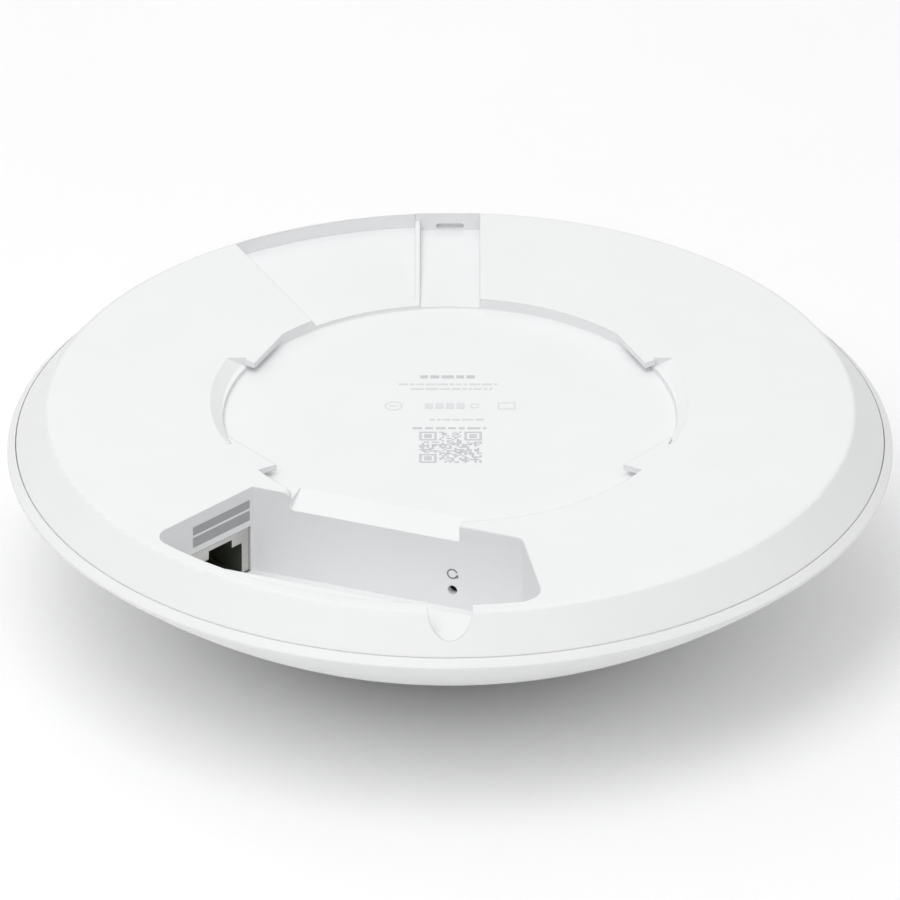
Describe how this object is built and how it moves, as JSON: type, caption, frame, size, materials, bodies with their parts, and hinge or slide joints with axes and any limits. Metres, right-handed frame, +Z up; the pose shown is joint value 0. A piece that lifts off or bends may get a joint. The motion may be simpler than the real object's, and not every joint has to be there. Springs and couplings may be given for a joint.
{
  "type": "ceiling access point",
  "caption": "Round dome-shaped wireless access point for a ceiling, with a slide-on bracket recess, a port tub with a network jack and a pin-hole reset button.",
  "frame": {"origin": "centre of the bracket recess's floor", "axes": "+Z up to the ceiling, dome down; +Y along the channel for the bracket's lock; the port tub is on the -Y side"},
  "size_m": [0.1756, 0.1756, 0.043],
  "materials": {
    "cover": "fine satin moulding",
    "board": "solder mask",
    "jack_metal": "tinned sheet",
    "jack_plastic": "moulded",
    "contact": "gold flash",
    "can_metal": "tinned sheet",
    "black_plastic": "moulded",
    "button": "moulded",
    "chip": "moulded epoxy",
    "ferrite": "sintered ferrite",
    "capacitor_can": "satin",
    "aluminium": "milled",
    "pad": "soft silicone",
    "screw": "zinc plated",
    "antenna_metal": "tin plated",
    "led": "clear over phosphor",
    "guide": "polished"
  },
  "bodies": {
    "root": {"rear_cover": "cover", "front_cover": "cover", "main_board": "board", "rj45_shield": "jack_metal", "rj45_insert": "jack_plastic", "rj45_contacts": "contact", "reset_switch_cover": "can_metal", "reset_switch_base": "black_plastic", "reset_dome_spring": "can_metal", "shield_frames": "can_metal", "shield_lids": "can_metal", "processor": "chip", "memory_chips": "chip", "radio_chips": "chip", "network_transformer": "black_plastic", "network_chip": "chip", "poe_transformer": "black_plastic", "poe_controller": "chip", "flash_chip": "chip", "inductors": "ferrite", "crystals": "can_metal", "capacitors": "capacitor_can", "heat_spreader": "aluminium", "thermal_pads": "pad", "antenna_plate": "aluminium", "board_spacers": "aluminium", "board_screws": "screw", "spreader_screws": "screw", "low_band_antennas": "antenna_metal", "high_band_antennas": "antenna_metal", "feed_pins": "contact", "status_led": "led", "light_guide": "guide"},
    "reset_button": {"reset_plunger": "button"}
  },
  "joints": [
    {"name": "reset_press", "type": "slide", "parent": "root", "child": "reset_button", "axis": [0.3551, 0.9348, 0], "range_m": [0, 0.0003], "stiffness_N_per_m": 5000}
  ]
}
